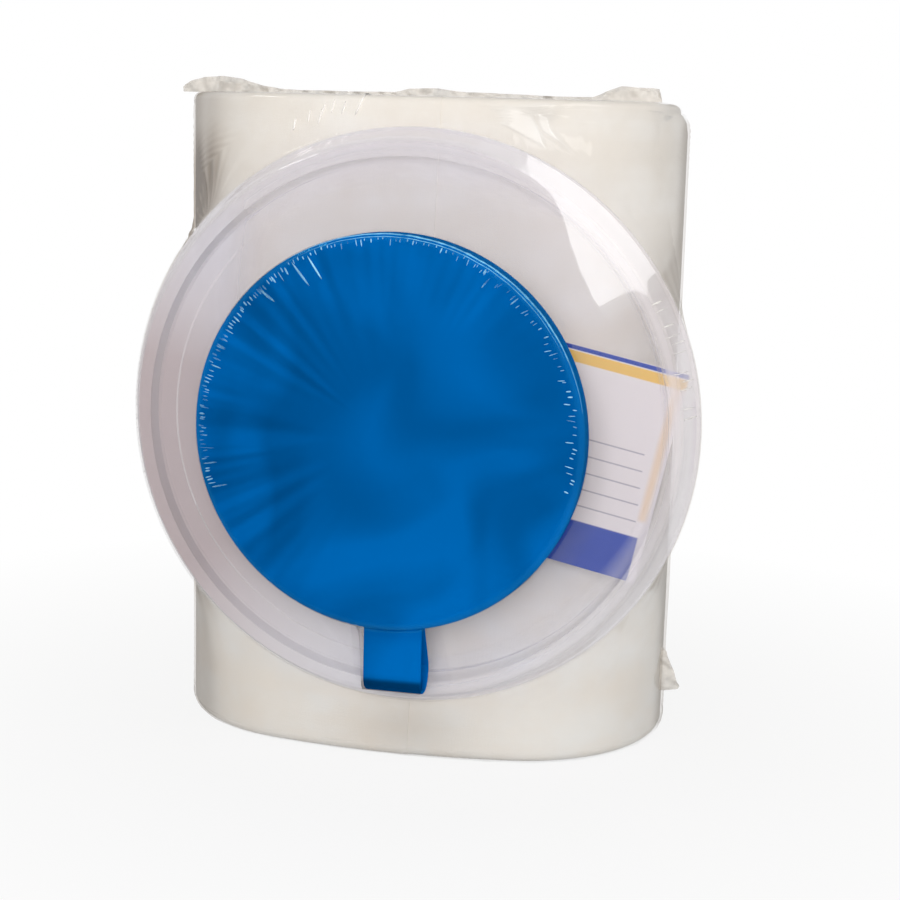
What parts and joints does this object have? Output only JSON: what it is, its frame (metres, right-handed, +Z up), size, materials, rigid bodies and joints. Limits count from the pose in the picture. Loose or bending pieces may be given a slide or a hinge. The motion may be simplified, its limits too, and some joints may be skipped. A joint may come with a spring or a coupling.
{
  "type": "wipes dispenser refill with strapped lid",
  "caption": "Upright flattened roll of dry wipes with a round translucent dispensing lid, a blue strapped snap cap that swings open, a label sheet and clear shrink film.",
  "frame": {"origin": "bottom centre of the set, under the lid's axis, on the surface that it stands on", "axes": "+Z up, the lid and cap face -Y, +X to the right seen from the front"},
  "size_m": [0.2198, 0.1702, 0.2609],
  "materials": {
    "nonwoven": "soft matte non-woven web",
    "label_paper": null,
    "frosted_lid": "frosted translucent polypropylene",
    "outlet_soft": "soft translucent plastic",
    "blue_cap": "satin moulded plastic",
    "shrink_film": "clear glossy shrink film with fine wrinkles"
  },
  "bodies": {
    "set": {"wipes_roll": "nonwoven", "outer_turn": "nonwoven", "first_wipe": "nonwoven", "label_sheet": "label_paper", "lid_shell": "frosted_lid", "outlet_star": "outlet_soft", "tether_ring": "blue_cap", "strap_fold": "blue_cap", "strap_rear": "blue_cap", "film_base": "shrink_film", "film_top": "shrink_film", "film_sleeve": "shrink_film", "film_tent": "shrink_film", "film_collar": "shrink_film", "film_ears": "shrink_film"},
    "cap": {"cap_shell": "blue_cap", "strap_front": "blue_cap", "film_cap": "shrink_film"}
  },
  "joints": [
    {"name": "cap_hinge", "type": "hinge", "parent": "set", "child": "cap", "pos_m": [0.0025, -0.07125, 0.04235], "axis": [1, 0, 0], "range_deg": [0, 95], "deforming": ["strap_fold"]}
  ]
}
